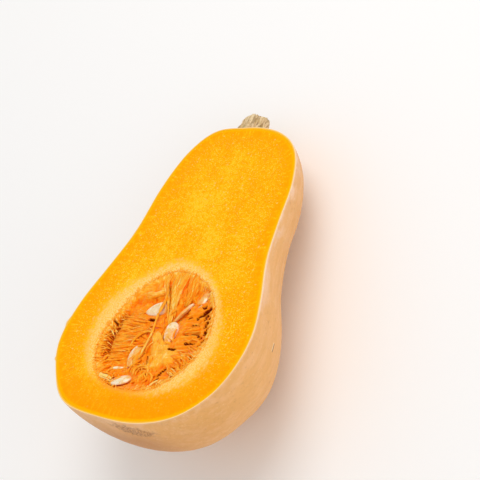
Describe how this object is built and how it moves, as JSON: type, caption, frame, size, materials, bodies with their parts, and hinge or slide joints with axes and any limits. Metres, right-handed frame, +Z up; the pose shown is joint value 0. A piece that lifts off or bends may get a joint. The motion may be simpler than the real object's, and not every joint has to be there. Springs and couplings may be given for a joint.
{
  "type": "halved butternut squash",
  "caption": "Half a butternut squash cut from end to end, lying on its skin with the cut face up: tan rind, orange flesh, stringy pulp with seeds in the hollow, dry stem stub.",
  "frame": {"origin": "centre of the bounding box on the surface that the half lies on", "axes": "+X across the squash, +Y from the blossom end to the stem end, +Z up out of the cut face"},
  "size_m": [0.138, 0.2202, 0.0972],
  "materials": {
    "rind": "smooth waxy skin with a soft sheen",
    "flesh": "moist knife-cut flesh, finely grained",
    "pulp": "wet stringy fibres",
    "stem": "dry, ribbed and corky",
    "seed": "smooth hard seed coat, slightly wet"
  },
  "bodies": {
    "root": {"rind": "rind", "flesh": "flesh", "pulp": "pulp", "stem": "stem", "seed_01": "seed", "seed_02": "seed", "seed_03": "seed", "seed_04": "seed", "seed_05": "seed", "seed_06": "seed", "seed_07": "seed", "seed_08": "seed", "seed_09": "seed"}
  },
  "joints": []
}
